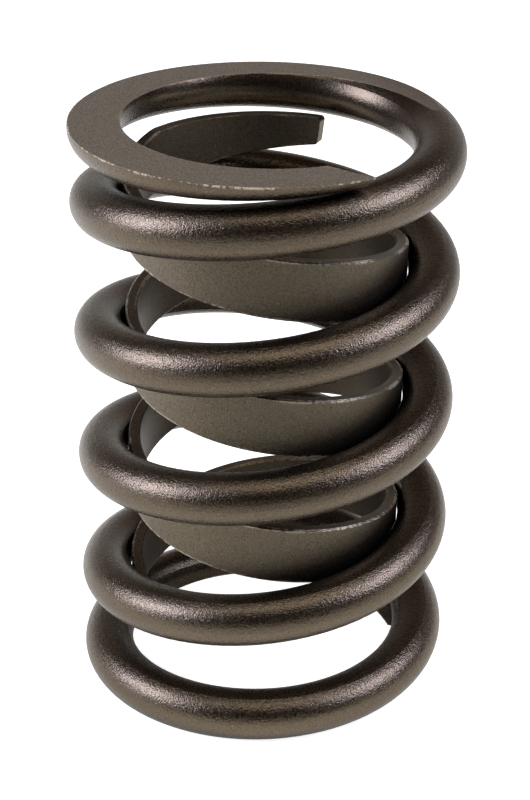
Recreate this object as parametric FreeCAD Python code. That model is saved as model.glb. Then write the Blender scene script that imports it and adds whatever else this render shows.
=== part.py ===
import FreeCAD, Part
import math
import os

# Engine valve spring with a flat-wound damper, as it stands on its lower end.
# The outer spring is one round wire wound right-hand. Each end coil is closed onto the
# next one and ground flat. The damper is one flat strip wound left-hand, a push fit in
# the bore of the outer spring, with its own two ends ground flat.
# The origin is on the axis in the plane of the lower ground face, and +Z points up the
# axis. Sizes are millimetres, angles are degrees counted from +X towards +Y, and a turn
# is one whole coil.

# Outer spring
COIL_OUTSIDE_DIAMETER = 37.1
WIRE_DIAMETER = 4.95
FREE_HEIGHT = 57.6
TOTAL_TURNS = 5.82
UPPER_TIP_ANGLE = 300.5

# Ends of the outer spring, the same at both ends. An end coil is closed at a small lead,
# which blends into the lead of the free coils, and its tip is bent back towards the seat.
END_COIL_TURNS = 0.67
BLEND_TURNS = 0.6
TIP_BEND = 0.33
TIP_BEND_TURNS = 0.3
GROUND_TIP_THICKNESS = 1.3
TIP_SEAT_CLEARANCE = 0.1
TIP_CUT_ANGLE = 25.0

# Damper
STRIP_THICKNESS = 1.15
STRIP_WIDTH = 5.8
STRIP_EDGE_BREAK = 0.15
STRIP_LEAD = 13.74
DAMPER_UPPER_END_ANGLE = 65.0
DAMPER_UPPER_FACE_DEPTH = 3.7
DAMPER_LOWER_FACE_HEIGHT = 6.6
DAMPER_UPPER_TIP_WIDTH = 2.7
DAMPER_LOWER_TIP_WIDTH = 3.4
DAMPER_TIP_CORNER_RADIUS = 0.45
DAMPER_TIP_LEAN_ANGLE = 7.0
DAMPER_FIT_CLEARANCE = 0.06

# How finely the centre lines and the round section are laid out
POINTS_PER_TURN = 24
SECTION_ARCS = 5

WIRE_RADIUS = WIRE_DIAMETER / 2
COIL_RADIUS = COIL_OUTSIDE_DIAMETER / 2 - WIRE_RADIUS
SPRING_BORE_RADIUS = COIL_OUTSIDE_DIAMETER / 2 - WIRE_DIAMETER
DAMPER_RADIUS = SPRING_BORE_RADIUS - DAMPER_FIT_CLEARANCE - STRIP_THICKNESS / 2

UP = FreeCAD.Vector(0, 0, 1)


def on_cylinder(radius, angle, height):
    """The point at this angle and height on a cylinder about the spring's axis."""
    turn = math.radians(angle)
    return FreeCAD.Vector(radius * math.cos(turn), radius * math.sin(turn), height)


def outward_at(point):
    """The level direction straight out from the spring's axis, at this point."""
    return FreeCAD.Vector(point.x, point.y, 0).normalize()


def blend_rise(share):
    """Area under a smooth step from 0 to 1, for a stretch that has run this share of it."""
    if share <= 0:
        return 0.0
    if share <= 1:
        return share ** 3 - share ** 4 / 2
    return share - 0.5


def coil_leads():
    """Leads of the end coils and of the free coils.

    They lay each tip on the coil one turn further along, and make the ground spring as
    tall as FREE_HEIGHT.
    """
    seat_rise = WIRE_DIAMETER + TIP_SEAT_CLEARANCE - TIP_BEND
    total_rise = FREE_HEIGHT - 2 * GROUND_TIP_THICKNESS + WIRE_DIAMETER - 2 * TIP_BEND
    free_turns = TOTAL_TURNS - 2 * END_COIL_TURNS - BLEND_TURNS
    end_turns = TOTAL_TURNS - free_turns
    blended = BLEND_TURNS * blend_rise((1 - END_COIL_TURNS) / BLEND_TURNS)
    end_share = 1 - blended - blended * end_turns / free_turns
    end_lead = (seat_rise - blended * total_rise / free_turns) / end_share
    free_lead = (total_rise - end_lead * end_turns) / free_turns
    return end_lead, free_lead


def rise_from_tip(turns):
    """Height of the wire's centre line above its tip, this many turns along the wire."""
    end_lead, free_lead = coil_leads()
    blended = BLEND_TURNS * blend_rise((turns - END_COIL_TURNS) / BLEND_TURNS)
    bend_left = 1 - min(turns / TIP_BEND_TURNS, 1.0)
    bend = TIP_BEND * (1 - bend_left ** 3)
    return end_lead * turns + (free_lead - end_lead) * blended + bend


def wire_height(turns):
    """Height of the outer spring's centre line, this many turns from its lower tip."""
    tip_height = GROUND_TIP_THICKNESS - WIRE_RADIUS
    if turns < TOTAL_TURNS / 2:
        return tip_height + rise_from_tip(turns)
    return FREE_HEIGHT - tip_height - rise_from_tip(TOTAL_TURNS - turns)


def wire_angle(turns):
    """Angle of the outer spring's centre line, this many turns from its lower tip."""
    return UPPER_TIP_ANGLE - 360 * (TOTAL_TURNS - turns)


def coil_path(radius, turns, angle_at, height_at):
    """A smooth path round the axis, from its angle and its height at each turn."""
    steps = math.ceil(turns * POINTS_PER_TURN)
    points = []
    for step in range(steps + 1):
        along = turns * step / steps
        points.append(on_cylinder(radius, angle_at(along), height_at(along)))
    path = Part.BSplineCurve()
    path.interpolate(points)
    return path


def wire_section(centre, along):
    """The wire's round section about a point of its centre line, as equal arcs."""
    outward = outward_at(centre)
    sideways = along.cross(outward)

    def rim(part):
        angle = 2 * math.pi * part / SECTION_ARCS
        out = outward * (WIRE_RADIUS * math.cos(angle))
        side = sideways * (WIRE_RADIUS * math.sin(angle))
        return centre + out + side

    arcs = []
    for number in range(SECTION_ARCS):
        arc = Part.Arc(rim(number), rim(number + 0.5), rim(number + 1))
        arcs.append(arc.toShape())
    return Part.Wire(arcs)


def tip_offcut(tip, off_the_end):
    """The wedge that the slanting cut takes off a tip, from its inner side.

    It stops halfway through the gap to the coil that the tip lies on.
    """
    outward = outward_at(tip)
    to_ground_face = outward.cross(off_the_end)
    slant = math.tan(math.radians(TIP_CUT_ANGLE))
    overrun = WIRE_DIAMETER / 10
    base = tip - to_ground_face * (WIRE_RADIUS + TIP_SEAT_CLEARANCE / 2)
    outer_end = outward * (WIRE_RADIUS + overrun / slant) + off_the_end * overrun
    inner_end = outward * -(WIRE_RADIUS + overrun) + off_the_end * overrun
    inner_back = inner_end - off_the_end * (2 * (WIRE_RADIUS + overrun) * slant)
    corners = [base + outer_end, base + inner_end, base + inner_back, base + outer_end]
    outline = Part.Face(Part.makePolygon(corners))
    return outline.extrude(to_ground_face * (2 * WIRE_DIAMETER))


def between_heights(solid, low, high):
    """The solid as two grinding wheels leave it, flat at both of these heights."""
    blank = Part.makeCylinder(COIL_OUTSIDE_DIAMETER, high - low, FreeCAD.Vector(0, 0, low))
    return solid.common(blank)


def make_outer_spring():
    path = coil_path(COIL_RADIUS, TOTAL_TURNS, wire_angle, wire_height)
    lower_tip = path.value(path.FirstParameter)
    upper_tip = path.value(path.LastParameter)
    along_lower_tip = path.tangent(path.FirstParameter)[0]
    along_upper_tip = path.tangent(path.LastParameter)[0]

    sweep = Part.BRepOffsetAPI.MakePipeShell(Part.Wire([path.toShape()]))
    sweep.setFrenetMode(True)
    sweep.add(wire_section(lower_tip, along_lower_tip), False, False)
    sweep.build()
    sweep.makeSolid()

    ground = between_heights(sweep.shape(), 0, FREE_HEIGHT)
    offcuts = [tip_offcut(lower_tip, along_lower_tip * -1), tip_offcut(upper_tip, along_upper_tip)]
    return ground.cut(offcuts)


def strip_height():
    """Height of the damper's strip along the axis, where it runs at its lead."""
    climb = math.atan2(STRIP_LEAD, 2 * math.pi * DAMPER_RADIUS)
    return STRIP_WIDTH / math.cos(climb)


def damper_upper_face():
    return FREE_HEIGHT - DAMPER_UPPER_FACE_DEPTH


def damper_turns():
    """Turns that leave the two tip widths of strip, once both ends are ground."""
    ground_height = damper_upper_face() - DAMPER_LOWER_FACE_HEIGHT
    tip_widths = DAMPER_UPPER_TIP_WIDTH + DAMPER_LOWER_TIP_WIDTH
    return (ground_height + strip_height() - tip_widths) / STRIP_LEAD


def strip_angle(turns):
    """Angle of the damper's middle line, this many turns from its upper end."""
    return DAMPER_UPPER_END_ANGLE + 360 * turns


def strip_middle(turns):
    """Height of the damper's middle line, this many turns from its upper end."""
    upper_end = damper_upper_face() - DAMPER_UPPER_TIP_WIDTH + strip_height() / 2
    return upper_end - STRIP_LEAD * turns


def strip_section(middle):
    """The damper's upright section about a point of its middle line, its edges broken."""
    outward = outward_at(middle)
    half_thickness = STRIP_THICKNESS / 2
    half_height = strip_height() / 2

    def corner(out, rise):
        return middle + outward * out + UP * rise

    flat_thickness = half_thickness - STRIP_EDGE_BREAK
    flat_height = half_height - STRIP_EDGE_BREAK
    corners = [
        corner(half_thickness, flat_height),
        corner(flat_thickness, half_height),
        corner(-flat_thickness, half_height),
        corner(-half_thickness, flat_height),
        corner(-half_thickness, -flat_height),
        corner(-flat_thickness, -half_height),
        corner(flat_thickness, -half_height),
        corner(half_thickness, -flat_height),
    ]
    return Part.makePolygon(corners + corners[:1])


def prism_across_strip(outward, outline):
    """A straight bar through the strip, from inside it to outside it, with this outline."""
    face = Part.Face(Part.makePolygon(outline + outline[:1]))
    face.translate(outward * -STRIP_THICKNESS)
    return face.extrude(outward * (2 * STRIP_THICKNESS))


def corner_offcut(corner, outward, edge_one, edge_two):
    """What rounds off this corner of the damper's end, between two of its edges."""
    half_angle = edge_one.getAngle(edge_two) / 2
    inward = (edge_one + edge_two).normalize()
    reach = DAMPER_TIP_CORNER_RADIUS / math.tan(half_angle)
    centre = corner + inward * (DAMPER_TIP_CORNER_RADIUS / math.sin(half_angle))
    outside = corner - inward * DAMPER_TIP_CORNER_RADIUS
    outline = [corner + edge_one * reach, centre, corner + edge_two * reach, outside]
    # The round is a little larger than its tangent circle, to cross both edges cleanly.
    radius = 1.05 * DAMPER_TIP_CORNER_RADIUS
    inner_end = centre - outward * STRIP_THICKNESS
    round_bar = Part.makeCylinder(radius, 2 * STRIP_THICKNESS, inner_end, outward)
    return prism_across_strip(outward, outline).cut(round_bar)


def damper_end_offcuts(end, off_the_end, to_ground_face, tip_width):
    """What comes off one end of the damper: a lean across the strip, then both corners."""
    outward = outward_at(end)
    level_off = FreeCAD.Vector(off_the_end.x, off_the_end.y, 0).normalize()
    free_corner = end - to_ground_face * (strip_height() / 2)
    ground_corner = free_corner + to_ground_face * tip_width
    lean = math.tan(math.radians(DAMPER_TIP_LEAN_ANGLE))
    free_corner = free_corner - level_off * (tip_width * lean)
    across = (ground_corner - free_corner).normalize()

    overrun = STRIP_EDGE_BREAK
    beyond = level_off * (2 * overrun)
    top = ground_corner + across * overrun
    bottom = free_corner - across * (tip_width / 4)
    lean_outline = [top, bottom, bottom + level_off * (tip_width * lean) + beyond, top + beyond]
    return [
        prism_across_strip(outward, lean_outline),
        corner_offcut(free_corner, outward, across, off_the_end * -1),
        corner_offcut(ground_corner, outward, across * -1, level_off * -1),
    ]


def make_damper():
    path = coil_path(DAMPER_RADIUS, damper_turns(), strip_angle, strip_middle)
    upper_end = path.value(path.FirstParameter)
    lower_end = path.value(path.LastParameter)
    off_upper_end = path.tangent(path.FirstParameter)[0] * -1
    off_lower_end = path.tangent(path.LastParameter)[0]

    sweep = Part.BRepOffsetAPI.MakePipeShell(Part.Wire([path.toShape()]))
    sweep.setBiNormalMode(UP)
    sweep.add(strip_section(upper_end), False, False)
    sweep.build()
    sweep.makeSolid()

    ground = between_heights(sweep.shape(), DAMPER_LOWER_FACE_HEIGHT, damper_upper_face())
    offcuts = damper_end_offcuts(upper_end, off_upper_end, UP, DAMPER_UPPER_TIP_WIDTH)
    offcuts += damper_end_offcuts(lower_end, off_lower_end, UP * -1, DAMPER_LOWER_TIP_WIDTH)
    return ground.cut(offcuts)


def main():
    os.makedirs("parts", exist_ok=True)
    outer_spring = make_outer_spring()
    outer_spring.exportStep("parts/outer_spring.step")
    flat_damper = make_damper()
    flat_damper.exportStep("parts/flat_damper.step")


main()
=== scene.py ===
import math

import bpy
from mathutils import Matrix, Vector


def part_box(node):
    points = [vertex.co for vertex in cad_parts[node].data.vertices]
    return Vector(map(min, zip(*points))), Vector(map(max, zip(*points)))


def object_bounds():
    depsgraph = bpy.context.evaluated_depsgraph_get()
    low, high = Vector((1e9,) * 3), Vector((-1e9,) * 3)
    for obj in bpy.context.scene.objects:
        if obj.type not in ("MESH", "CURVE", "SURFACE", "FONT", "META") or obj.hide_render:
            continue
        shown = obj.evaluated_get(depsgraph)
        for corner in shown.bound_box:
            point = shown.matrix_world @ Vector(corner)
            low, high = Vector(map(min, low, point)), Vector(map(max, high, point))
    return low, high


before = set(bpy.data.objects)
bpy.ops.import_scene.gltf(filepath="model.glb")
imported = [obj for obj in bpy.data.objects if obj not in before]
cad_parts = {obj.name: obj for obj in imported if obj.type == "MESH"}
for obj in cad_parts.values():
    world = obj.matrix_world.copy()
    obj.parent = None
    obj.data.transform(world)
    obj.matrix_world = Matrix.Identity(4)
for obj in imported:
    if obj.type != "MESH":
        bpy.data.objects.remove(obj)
cad_low, cad_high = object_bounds()

MM = 0.001

# The photograph's frame, in pixels, and the camera that took it
PHOTO_HEIGHT = 800
CAMERA_ELEVATION = math.radians(26.766)
CAMERA_DISTANCE = 190.905 * MM
CAMERA_AIM = Vector((-0.989, 0.0, 28.042)) * MM
CAMERA_ROLL = math.radians(0.443)
FOCAL_PIXELS = 1921.71
PICTURE_CENTRE_RIGHT = -10.45
PICTURE_CENTRE_DOWN = 3.776
SENSOR = 36.0

# Where the springs' ground faces lie
UPPER_SEAT = cad_high.z
LOWER_SEAT = cad_low.z
DAMPER_LOW, DAMPER_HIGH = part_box("flat_damper")
SPRING_BORE = (DAMPER_HIGH[0] - DAMPER_LOW[0]) / 2
DAMPER_INSIDE = SPRING_BORE - 1.1 * MM

# The upper ground face runs out in this direction, counted from +X, between these two
# distances along it, in mm
GROUND_RUN_OUT = math.radians(25)
RUN_OUT_STARTS = 13.0
RUN_OUT_ENDS = 17.5

# Finish of the round wire. Grain sizes are in mm; a drift is the slow change of colour
# along the wire, per mm; a mottle is how far the darker and the lighter grains count.
WIRE_GRAIN = 0.145
WIRE_DIMPLE = 0.046 * MM
WIRE_DRIFT = 0.09
WIRE_MOTTLE = (0.30, 0.32)
WIRE_ROUGHNESS = (0.26, 0.34)
WIRE_BURR_COVERAGE = 0.52
WIRE_INSIDE_SOFT = 2.6
# WIRE_INSIDE_SHARE: how far painted shade darkens the face turned to the axis
WIRE_INSIDE_SHARE = 0.35
BRONZE_DARK = (0.118, 0.092, 0.061, 1)
BRONZE_LIGHT = (0.145, 0.114, 0.078, 1)
DIMPLE_DARK = (0.060, 0.041, 0.025, 1)
DIMPLE_LIGHT = (0.220, 0.178, 0.128, 1)
GROUND_DARK = (0.20, 0.174, 0.124, 1)
GROUND_LIGHT = (0.40, 0.348, 0.249, 1)
GROUND_ROUGHNESS = 0.55
GROUND_METALLIC = 0.9
WIRE_SPECK = (0.50, 0.43, 0.36, 1)
WIRE_BURR = (0.78, 0.65, 0.49, 1)
# The burr on the inner side is real wear, made darker here as painted shade
WIRE_INNER_BURR_PAINTED_SHADE = (0.40, 0.29, 0.16, 1)

# Finish of the flat strip
STRIP_GRAIN = 0.15
STRIP_DIMPLE = 0.04 * MM
STRIP_DRIFT = 0.12
STRIP_MOTTLE = (0.42, 0.58)
STRIP_ROUGHNESS = (0.38, 0.46)
STRIP_BURR_COVERAGE = 0.56
# STRIP_INSIDE_SHARE: how far painted shade darkens the face turned to the axis
STRIP_INSIDE_SHARE = 0.5
STRIP_BROWN_DARK = (0.128, 0.106, 0.072, 1)
STRIP_BROWN_LIGHT = (0.156, 0.130, 0.090, 1)
STRIP_DIMPLE_DARK = (0.056, 0.045, 0.030, 1)
STRIP_DIMPLE_LIGHT = (0.23, 0.192, 0.134, 1)
STRIP_GROUND = (0.30, 0.255, 0.185, 1)
STRIP_SPECK = (0.45, 0.39, 0.32, 1)
STRIP_BURR = (0.78, 0.68, 0.50, 1)
# The burr on the inner edge is real wear, made darker here as painted shade
STRIP_INNER_BURR_PAINTED_SHADE = (0.36, 0.26, 0.15, 1)

# Both: painted shade on the inner side, painted shade in the darkest gaps, the edges that burr
# and the specks
# GAP_PAINTED_SHADE is the near-black of the painted shade deep in the gaps
INNER_SHADE_BROWN = (0.045, 0.033, 0.021, 1)
GAP_PAINTED_SHADE = (0.012, 0.009, 0.006, 1)
GAP_REACH = 4 * MM
GAP_OPEN = 0.62
GAP_SHARE = 0.9
BURR_WIDTH = 0.24 * MM
BURR_DASH = 0.4
BURR_METALLIC = 0.5
SPECK = 0.2
SPECK_RARITY = 1.05
SPECK_SHARE = 0.5

# The floor's own light, as the camera sees it and as the metal does. In the metal it is
# less inside the spring's bore, falls away in front, and is brighter on the left.
PAPER = (0.78, 0.78, 0.66, 1)
FLOOR_RADIUS = 2.0
FLOOR_LEVEL = -0.05 * MM
CAMERA_LIFT = 0.92
GLOSSY_LIFT = 0.56
SHADOW_FROM = 10 * MM
SHADOW_TO = 21 * MM
SHEET_ENDS = -88 * MM
SHEET_FADES = -10 * MM
SIDE_REACH = 100 * MM
LEFT_SHARE = 1.12
RIGHT_SHARE = 0.85

# The room that the metal shows: a backdrop behind, low down, and dim warm walls
BACKDROP_FADES = math.radians(0)
BACKDROP_ENDS = math.radians(45)
BACKDROP_SIDES = (0.4, 0.95)
BACKDROP = 0.57
DARK_ROOM = 0.024
ROOM_TINT = (1.3, 0.85, 0.55, 1)
BACKDROP_TINT = (0.94, 1.0, 1.04, 1)
WHITE = (1, 1, 1, 1)
LAMP_AIM = Vector((0, 0, 30)) * MM
COOL = (1.0, 1.05, 1.43)
WARM = (1.06, 1.0, 0.96)


def feed(tree, socket, value):
    if isinstance(value, bpy.types.NodeSocket):
        tree.links.new(value, socket)
    else:
        socket.default_value = value


def math_node(tree, operation, first, second=0.0, third=0.0):
    node = tree.nodes.new("ShaderNodeMath")
    node.operation = operation
    for socket, value in zip(node.inputs, (first, second, third)):
        feed(tree, socket, value)
    return node.outputs[0]


def vector_scale(tree, vector, factor):
    node = tree.nodes.new("ShaderNodeVectorMath")
    node.operation = "SCALE"
    feed(tree, node.inputs[0], vector)
    feed(tree, node.inputs["Scale"], factor)
    return node.outputs[0]


def noise(tree, vector, scale, detail=2.0, roughness=0.5):
    node = tree.nodes.new("ShaderNodeTexNoise")
    feed(tree, node.inputs["Vector"], vector)
    feed(tree, node.inputs["Scale"], scale)
    feed(tree, node.inputs["Detail"], detail)
    feed(tree, node.inputs["Roughness"], roughness)
    return node.outputs["Fac"]


def ramp_between(tree, value, low, high):
    """0 below low, 1 above high, and a smooth step between them."""
    node = tree.nodes.new("ShaderNodeMapRange")
    node.interpolation_type = "SMOOTHSTEP"
    feed(tree, node.inputs["Value"], value)
    feed(tree, node.inputs["From Min"], low)
    feed(tree, node.inputs["From Max"], high)
    return node.outputs["Result"]


def blend_colour(tree, mask, first, second):
    node = tree.nodes.new("ShaderNodeMix")
    node.data_type = "RGBA"
    feed(tree, node.inputs[0], mask)
    feed(tree, node.inputs[6], first)
    feed(tree, node.inputs[7], second)
    return node.outputs[2]


def blend_share(tree, mask, share, first, second):
    """As blend_colour, where the full mask counts only for this share."""
    return blend_colour(tree, math_node(tree, "MULTIPLY", mask, share), first, second)


def blend_value(tree, mask, first, second):
    node = tree.nodes.new("ShaderNodeMix")
    node.data_type = "FLOAT"
    feed(tree, node.inputs[0], mask)
    feed(tree, node.inputs[2], first)
    feed(tree, node.inputs[3], second)
    return node.outputs[0]


def new_group(name, inputs, outputs):
    """A shader node group with named sockets: its tree, its inputs and its outputs."""
    tree = bpy.data.node_groups.new(name, "ShaderNodeTree")
    for label, kind, value in inputs:
        socket = tree.interface.new_socket(label, in_out="INPUT", socket_type=kind)
        if value is not None:
            socket.default_value = value
    for label, kind in outputs:
        tree.interface.new_socket(label, in_out="OUTPUT", socket_type=kind)
    ins = tree.nodes.new("NodeGroupInput").outputs
    outs = tree.nodes.new("NodeGroupOutput").inputs
    return tree, ins, outs


def use_group(tree, group, **values):
    """Places a group; a value's name is its input's name, with underscores as spaces."""
    node = tree.nodes.new("ShaderNodeGroup")
    node.node_tree = group
    for name, value in values.items():
        feed(tree, node.inputs[name.replace("_", " ")], value)
    return node.outputs


FLOAT = "NodeSocketFloat"
VECTOR = "NodeSocketVector"


def peened_grain_group():
    """Fine dimples that shot peening leaves, as a height and as light and dark grains."""
    tree, ins, outs = new_group(
        "Peened grain",
        [("Position mm", VECTOR, None), ("Grain mm", FLOAT, 0.2)],
        [("Height", FLOAT), ("Grain", FLOAT)],
    )
    per_mm = math_node(tree, "DIVIDE", 1.0, ins["Grain mm"])
    fine = noise(tree, ins["Position mm"], per_mm, 1.0, 0.6)
    coarse = noise(tree, ins["Position mm"], math_node(tree, "MULTIPLY", per_mm, 0.37), 1.0)
    feed(tree, outs["Height"], math_node(tree, "MULTIPLY_ADD", coarse, 0.6, fine))
    feed(tree, outs["Grain"], ramp_between(tree, fine, 0.32, 0.68))
    return tree


def edge_wear_group():
    """Bright burrs along sharp edges, broken into dashes, and none deep in the gaps."""
    tree, ins, outs = new_group(
        "Edge wear",
        [("Position mm", VECTOR, None), ("Edge metres", FLOAT, 0.0001), ("Dash mm", FLOAT, 0.7),
         ("Coverage", FLOAT, 0.5), ("Recess", FLOAT, 0.0)],
        [("Mask", FLOAT)],
    )
    per_mm = math_node(tree, "DIVIDE", 1.0, ins["Dash mm"])
    stretch = noise(tree, ins["Position mm"], math_node(tree, "MULTIPLY", per_mm, 0.12), 0.0)
    uneven = math_node(tree, "MULTIPLY_ADD", ramp_between(tree, stretch, 0.35, 0.65), 1.2, 0.4)
    rounded = tree.nodes.new("ShaderNodeBevel")
    rounded.samples = 6
    radius = math_node(tree, "MULTIPLY", ins["Edge metres"], uneven)
    feed(tree, rounded.inputs["Radius"], radius)
    geometry = tree.nodes.new("ShaderNodeNewGeometry")
    facing = tree.nodes.new("ShaderNodeVectorMath")
    facing.operation = "DOT_PRODUCT"
    feed(tree, facing.inputs[0], rounded.outputs[0])
    feed(tree, facing.inputs[1], geometry.outputs["Normal"])
    edge = ramp_between(tree, facing.outputs["Value"], 0.99, 0.93)
    dash = noise(tree, ins["Position mm"], per_mm, 1.0)
    both = math_node(tree, "MULTIPLY_ADD", stretch, 0.6, dash)
    least = math_node(tree, "SUBTRACT", 1.1, math_node(tree, "MULTIPLY", ins["Coverage"], 0.6))
    worn = ramp_between(tree, both, least, math_node(tree, "ADD", least, 0.1))
    shown = math_node(tree, "MULTIPLY", edge, worn)
    out_in_the_open = math_node(tree, "SUBTRACT", 1.0, ins["Recess"])
    feed(tree, outs["Mask"], math_node(tree, "MULTIPLY", shown, out_in_the_open))
    return tree


def recess_group():
    """How deep a point lies in the gaps between the coils, where painted shade darkens it."""
    tree, ins, outs = new_group(
        "Recess",
        [("Reach metres", FLOAT, 0.004), ("Open", FLOAT, 0.7)],
        [("Mask", FLOAT), ("Deep", FLOAT)],
    )
    openness = tree.nodes.new("ShaderNodeAmbientOcclusion")
    openness.samples = 12
    feed(tree, openness.inputs["Distance"], ins["Reach metres"])
    feed(tree, outs["Mask"], ramp_between(tree, openness.outputs["AO"], ins["Open"], 0.2))
    feed(tree, outs["Deep"], ramp_between(tree, openness.outputs["AO"], 0.35, 0.1))
    return tree


def ground_face_group():
    """Where the grinding wheel has been: at or beyond the two levels, within 0.02 mm."""
    tree, ins, outs = new_group(
        "Ground face",
        [("Position mm", VECTOR, None), ("Lower mm", FLOAT, 0.0), ("Upper mm", FLOAT, 50.0)],
        [("Mask", FLOAT)],
    )
    split = tree.nodes.new("ShaderNodeSeparateXYZ")
    feed(tree, split.inputs[0], ins["Position mm"])
    height = split.outputs["Z"]
    highest = math_node(tree, "SUBTRACT", ins["Upper mm"], 0.02)
    lowest = math_node(tree, "ADD", ins["Lower mm"], 0.02)
    above = math_node(tree, "GREATER_THAN", height, highest)
    below = math_node(tree, "LESS_THAN", height, lowest)
    feed(tree, outs["Mask"], math_node(tree, "MAXIMUM", above, below))
    return tree


def specks_group():
    """Sparse pale specks and short scuffs from handling."""
    tree, ins, outs = new_group(
        "Handling specks",
        [("Position mm", VECTOR, None), ("Speck mm", FLOAT, 0.5), ("Rarity", FLOAT, 0.7)],
        [("Mask", FLOAT)],
    )
    per_mm = math_node(tree, "DIVIDE", 1.0, ins["Speck mm"])
    speck = noise(tree, ins["Position mm"], per_mm, 0.0)
    where = noise(tree, ins["Position mm"], math_node(tree, "MULTIPLY", per_mm, 0.13), 1.0)
    sum_of_both = math_node(tree, "MULTIPLY_ADD", where, 0.4, speck)
    top = math_node(tree, "ADD", ins["Rarity"], 0.05)
    feed(tree, outs["Mask"], ramp_between(tree, sum_of_both, ins["Rarity"], top))
    return tree


def inner_face_group():
    """The face turned to the axis, which the shot hardly reaches and which is darkened by
    painted shade.
    """
    tree, ins, outs = new_group(
        "Inner face",
        [("Position mm", VECTOR, None), ("Radius mm", FLOAT, 12.5), ("Soft mm", FLOAT, 0.2)],
        [("Mask", FLOAT)],
    )
    flat = tree.nodes.new("ShaderNodeVectorMath")
    flat.operation = "MULTIPLY"
    feed(tree, flat.inputs[0], ins["Position mm"])
    flat.inputs[1].default_value = (1, 1, 0)
    radius = tree.nodes.new("ShaderNodeVectorMath")
    radius.operation = "LENGTH"
    feed(tree, radius.inputs[0], flat.outputs["Vector"])
    outer = math_node(tree, "ADD", ins["Radius mm"], ins["Soft mm"])
    beyond = ramp_between(tree, radius.outputs["Value"], ins["Radius mm"], outer)
    feed(tree, outs["Mask"], math_node(tree, "SUBTRACT", 1.0, beyond))
    return tree


PEENED_GRAIN = peened_grain_group()
EDGE_WEAR = edge_wear_group()
RECESS = recess_group()
GROUND_FACE = ground_face_group()
INNER_FACE = inner_face_group()
HANDLING_SPECKS = specks_group()


def new_material(name):
    material = bpy.data.materials.new(name)
    material.use_nodes = True
    tree = material.node_tree
    shader = tree.nodes["Principled BSDF"]
    coordinates = tree.nodes.new("ShaderNodeTexCoord")
    position = vector_scale(tree, coordinates.outputs["Object"], 1 / MM)
    return material, tree, shader, position


def shared_masks(tree, position, coverage):
    """The painted shade in the gaps, the burrs and the specks, which both materials have."""
    recess = use_group(tree, RECESS, Reach_metres=GAP_REACH, Open=GAP_OPEN)
    worn = use_group(
        tree, EDGE_WEAR, Position_mm=position, Edge_metres=BURR_WIDTH, Dash_mm=BURR_DASH,
        Coverage=coverage, Recess=recess["Deep"]
    )["Mask"]
    specks = use_group(
        tree, HANDLING_SPECKS, Position_mm=position, Speck_mm=SPECK, Rarity=SPECK_RARITY
    )["Mask"]
    return recess["Mask"], worn, specks


def mottled(tree, grain, mottle, brown, dark_grain, light_grain):
    """Brown with darker and lighter grains, which count as far as the mottle says."""
    darker, lighter = mottle
    shade = math_node(tree, "MULTIPLY_ADD", grain, -darker, darker)
    shaded = blend_colour(tree, shade, brown, dark_grain)
    return blend_share(tree, grain, lighter, shaded, light_grain)


def add_bump(tree, shader, height, distance):
    bump = tree.nodes.new("ShaderNodeBump")
    bump.inputs["Strength"].default_value = 1.0
    bump.inputs["Distance"].default_value = distance
    feed(tree, bump.inputs["Height"], height)
    feed(tree, shader.inputs["Normal"], bump.outputs[0])


def spring_wire_material():
    """Dark bronze-brown heat-treated wire, peened, with its ends ground."""
    material, tree, shader, position = new_material("spring_wire")
    grain = use_group(tree, PEENED_GRAIN, Position_mm=position, Grain_mm=WIRE_GRAIN)
    recess, worn, specks = shared_masks(tree, position, WIRE_BURR_COVERAGE)
    ground = use_group(
        tree, GROUND_FACE, Position_mm=position,
        Lower_mm=LOWER_SEAT / MM, Upper_mm=UPPER_SEAT / MM
    )["Mask"]
    run_out = tree.nodes.new("ShaderNodeVectorMath")
    run_out.operation = "DOT_PRODUCT"
    feed(tree, run_out.inputs[0], position)
    run_out.inputs[1].default_value = (math.cos(GROUND_RUN_OUT), math.sin(GROUND_RUN_OUT), 0)
    grazed = ramp_between(tree, run_out.outputs["Value"], RUN_OUT_STARTS, RUN_OUT_ENDS)
    kept = math_node(tree, "MULTIPLY_ADD", grazed, -0.5, 1.0)
    ground = math_node(tree, "MULTIPLY", ground, kept)
    inside = use_group(
        tree, INNER_FACE, Position_mm=position,
        Radius_mm=SPRING_BORE / MM + 0.2, Soft_mm=WIRE_INSIDE_SOFT
    )["Mask"]

    drift = noise(tree, position, WIRE_DRIFT)
    brown = blend_colour(tree, drift, BRONZE_DARK, BRONZE_LIGHT)
    brown = mottled(tree, grain["Grain"], WIRE_MOTTLE, brown, DIMPLE_DARK, DIMPLE_LIGHT)
    # Painted shade on the face turned to the axis
    brown = blend_share(tree, inside, WIRE_INSIDE_SHARE, brown, INNER_SHADE_BROWN)
    ground_grey = blend_colour(tree, grain["Grain"], GROUND_DARK, GROUND_LIGHT)
    colour = blend_colour(tree, ground, brown, ground_grey)
    colour = blend_share(tree, specks, SPECK_SHARE, colour, WIRE_SPECK)
    # Painted shade: the gaps between the coils darkened towards black
    colour = blend_share(tree, recess, GAP_SHARE, colour, GAP_PAINTED_SHADE)
    # Burrs on the inner side take a darker colour: real wear with painted shade
    burr = blend_colour(tree, inside, WIRE_BURR, WIRE_INNER_BURR_PAINTED_SHADE)
    feed(tree, shader.inputs["Base Color"], blend_colour(tree, worn, colour, burr))

    rough = blend_value(tree, grain["Grain"], *WIRE_ROUGHNESS)
    rough = blend_value(tree, ground, rough, GROUND_ROUGHNESS)
    feed(tree, shader.inputs["Roughness"], rough)
    metal = blend_value(tree, ground, 1.0, GROUND_METALLIC)
    feed(tree, shader.inputs["Metallic"], blend_value(tree, worn, metal, BURR_METALLIC))
    depth = math_node(tree, "MULTIPLY_ADD", inside, -0.6, 1.0)
    add_bump(tree, shader, math_node(tree, "MULTIPLY", grain["Height"], depth), WIRE_DIMPLE)
    return material


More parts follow.
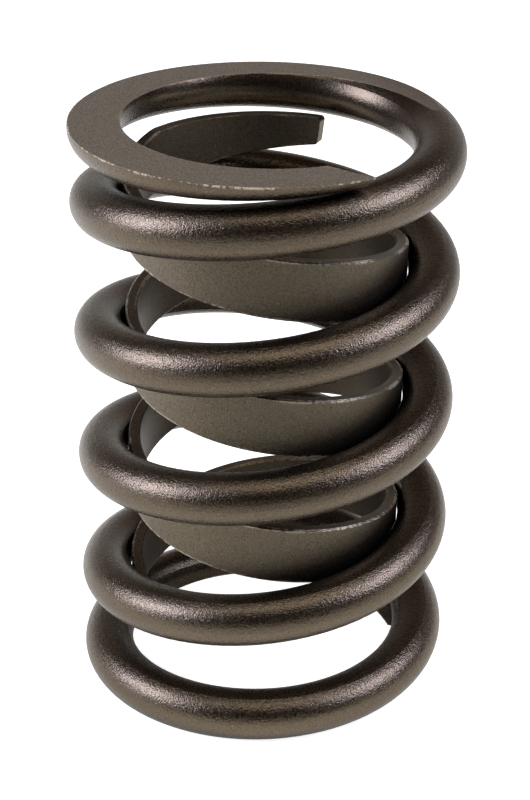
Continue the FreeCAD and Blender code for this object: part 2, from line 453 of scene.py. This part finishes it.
def damper_strip_material():
    """The same steel as flat strip: duller and grainier, with its edges rubbed bright."""
    material, tree, shader, position = new_material("damper_strip")
    grain = use_group(tree, PEENED_GRAIN, Position_mm=position, Grain_mm=STRIP_GRAIN)
    recess, worn, specks = shared_masks(tree, position, STRIP_BURR_COVERAGE)
    ground = use_group(
        tree, GROUND_FACE, Position_mm=position,
        Lower_mm=DAMPER_LOW[2] / MM, Upper_mm=DAMPER_HIGH[2] / MM
    )["Mask"]
    inner_radius = DAMPER_INSIDE / MM
    inside = use_group(tree, INNER_FACE, Position_mm=position, Radius_mm=inner_radius)["Mask"]
    inner_edge = use_group(
        tree, INNER_FACE, Position_mm=position, Radius_mm=inner_radius + 0.3
    )["Mask"]

    drift = noise(tree, position, STRIP_DRIFT)
    brown = blend_colour(tree, drift, STRIP_BROWN_DARK, STRIP_BROWN_LIGHT)
    colour = mottled(
        tree, grain["Grain"], STRIP_MOTTLE, brown, STRIP_DIMPLE_DARK, STRIP_DIMPLE_LIGHT
    )
    # Painted shade on the face turned to the axis
    colour = blend_share(tree, inside, STRIP_INSIDE_SHARE, colour, INNER_SHADE_BROWN)
    colour = blend_colour(tree, ground, colour, STRIP_GROUND)
    colour = blend_share(tree, specks, SPECK_SHARE, colour, STRIP_SPECK)
    # Painted shade: the gaps between the coils darkened towards black
    colour = blend_share(tree, recess, GAP_SHARE, colour, GAP_PAINTED_SHADE)
    # Burrs on the inner edge take a darker colour: real wear with painted shade
    burr = blend_colour(tree, inner_edge, STRIP_BURR, STRIP_INNER_BURR_PAINTED_SHADE)
    feed(tree, shader.inputs["Base Color"], blend_colour(tree, worn, colour, burr))

    rough = blend_value(tree, grain["Grain"], *STRIP_ROUGHNESS)
    feed(tree, shader.inputs["Roughness"], rough)
    feed(tree, shader.inputs["Metallic"], blend_value(tree, worn, 1.0, BURR_METALLIC))
    add_bump(tree, shader, grain["Height"], STRIP_DIMPLE)
    return material


def dress(node_name, material):
    """Gives a CAD node its finish, with smooth shading kept as the frame has it."""
    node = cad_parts[node_name]
    if node.data.materials:
        for number in range(len(node.data.materials)):
            node.data.materials[number] = material
    else:
        node.data.materials.append(material)


dress("outer_spring", spring_wire_material())
dress("flat_damper", damper_strip_material())


def seen_directly(tree, rays):
    """1 where the camera looks straight at a thing, or through something clear."""
    return math_node(
        tree, "MAXIMUM", rays.outputs["Is Camera Ray"], rays.outputs["Is Transmission Ray"]
    )


def pale_material(name):
    """Pale matte paper; it shows white to the camera and in the metal, and keeps shadows.

    In the metal it falls away in front, where the sheet ends short of the camera, and it
    is a little brighter on the left.
    """
    material = bpy.data.materials.new(name)
    material.use_nodes = True
    tree = material.node_tree
    shader = tree.nodes["Principled BSDF"]
    shader.inputs["Base Color"].default_value = PAPER
    shader.inputs["Roughness"].default_value = 0.9
    shader.inputs["Specular IOR Level"].default_value = 0.0
    shader.inputs["Emission Color"].default_value = WHITE
    rays = tree.nodes.new("ShaderNodeLightPath")
    coordinates = tree.nodes.new("ShaderNodeTexCoord")
    split = tree.nodes.new("ShaderNodeSeparateXYZ")
    feed(tree, split.inputs[0], coordinates.outputs["Object"])
    from_axis = tree.nodes.new("ShaderNodeVectorMath")
    from_axis.operation = "LENGTH"
    feed(tree, from_axis.inputs[0], coordinates.outputs["Object"])
    sheet = ramp_between(tree, split.outputs["Y"], SHEET_ENDS, SHEET_FADES)
    outside = ramp_between(tree, from_axis.outputs["Value"], SHADOW_FROM, SHADOW_TO)
    to_the_right = ramp_between(tree, split.outputs["X"], -SIDE_REACH, SIDE_REACH)
    side = blend_value(tree, to_the_right, LEFT_SHARE, RIGHT_SHARE)
    open_sheet = math_node(tree, "MULTIPLY", math_node(tree, "MULTIPLY", sheet, outside), side)
    mirrored = math_node(tree, "MULTIPLY", rays.outputs["Is Glossy Ray"], open_sheet)
    mirrored = math_node(tree, "MULTIPLY", mirrored, GLOSSY_LIFT)
    direct = math_node(tree, "MULTIPLY", seen_directly(tree, rays), CAMERA_LIFT)
    lift = math_node(tree, "MAXIMUM", direct, mirrored)
    feed(tree, shader.inputs["Emission Strength"], lift)
    return material


def lay_floor():
    """A wide round sheet that the spring stands on."""
    mesh = bpy.data.meshes.new("floor")
    steps = 96
    corners = []
    for step in range(steps):
        angle = 2 * math.pi * step / steps
        across = FLOOR_RADIUS * math.cos(angle)
        along = FLOOR_RADIUS * math.sin(angle)
        corners.append((across, along, FLOOR_LEVEL))
    mesh.from_pydata(corners, [], [tuple(range(steps))])
    floor = bpy.data.objects.new("floor", mesh)
    bpy.context.scene.collection.objects.link(floor)
    floor.data.materials.append(pale_material("pale_floor"))


lay_floor()


def soft_light(name, azimuth, elevation, distance, width, height, watts, colour):
    """An oval soft light aimed at the spring's middle. Azimuth 0 is the camera's side."""
    lamp = bpy.data.lights.new(name, "AREA")
    lamp.shape = "ELLIPSE"
    lamp.size = width
    lamp.size_y = height
    lamp.energy = watts
    lamp.color = colour
    body = bpy.data.objects.new(name, lamp)
    turn = math.radians(azimuth)
    rise = math.radians(elevation)
    level = math.cos(rise)
    back = Vector((math.sin(turn) * level, -math.cos(turn) * level, math.sin(rise)))
    body.location = LAMP_AIM + back * distance
    body.rotation_mode = "QUATERNION"
    body.rotation_quaternion = (-back).to_track_quat("-Z", "Y")
    bpy.context.scene.collection.objects.link(body)


soft_light("left_softbox", -82, 26, 0.45, 0.25, 0.27, 1.55, COOL)
soft_light("right_softbox", 79, 38, 0.45, 0.25, 0.23, 1.08, COOL)
soft_light("top_softbox", 0, 79, 0.5, 0.45, 0.30, 0.74, WARM)


def studio_world():
    """A white backdrop behind the spring, and a dark room on the camera's side and above."""
    world = bpy.data.worlds.new("studio")
    bpy.context.scene.world = world
    world.use_nodes = True
    tree = world.node_tree
    background = tree.nodes["Background"]
    coordinates = tree.nodes.new("ShaderNodeTexCoord")
    split = tree.nodes.new("ShaderNodeSeparateXYZ")
    feed(tree, split.inputs[0], coordinates.outputs["Generated"])
    low_down = ramp_between(
        tree, split.outputs["Z"], math.sin(BACKDROP_ENDS), math.sin(BACKDROP_FADES)
    )
    behind = ramp_between(tree, split.outputs["Y"], *BACKDROP_SIDES)
    backdrop = math_node(tree, "MULTIPLY", low_down, behind)
    rays = tree.nodes.new("ShaderNodeLightPath")
    direct = seen_directly(tree, rays)
    lit = blend_value(tree, backdrop, DARK_ROOM, BACKDROP)
    feed(tree, background.inputs["Strength"], math_node(tree, "MAXIMUM", lit, direct))
    tint = blend_colour(tree, backdrop, ROOM_TINT, BACKDROP_TINT)
    feed(tree, background.inputs["Color"], blend_colour(tree, direct, tint, WHITE))


studio_world()


def make_camera():
    data = bpy.data.cameras.new("camera")
    data.sensor_width = SENSOR
    data.sensor_fit = "AUTO"
    data.lens = FOCAL_PIXELS / PHOTO_HEIGHT * SENSOR
    data.shift_x = -PICTURE_CENTRE_RIGHT / PHOTO_HEIGHT
    data.shift_y = PICTURE_CENTRE_DOWN / PHOTO_HEIGHT
    data.clip_start = 0.01
    data.clip_end = 20.0
    data.dof.use_dof = False
    eye = Vector((
        0.0,
        -CAMERA_DISTANCE * math.cos(CAMERA_ELEVATION),
        CAMERA_AIM.z + CAMERA_DISTANCE * math.sin(CAMERA_ELEVATION),
    ))
    forward = (CAMERA_AIM - eye).normalized()
    right = forward.cross(Vector((0, 0, 1))).normalized()
    up = right.cross(forward)
    rolled_right = right * math.cos(CAMERA_ROLL) + up * math.sin(CAMERA_ROLL)
    rolled_up = up * math.cos(CAMERA_ROLL) - right * math.sin(CAMERA_ROLL)
    camera = bpy.data.objects.new("camera", data)
    turned = Matrix((rolled_right, rolled_up, -forward)).transposed()
    camera.matrix_world = Matrix.Translation(eye) @ turned.to_4x4()
    bpy.context.scene.collection.objects.link(camera)
    bpy.context.scene.camera = camera


make_camera()
bpy.context.scene.view_settings.view_transform = "Standard"
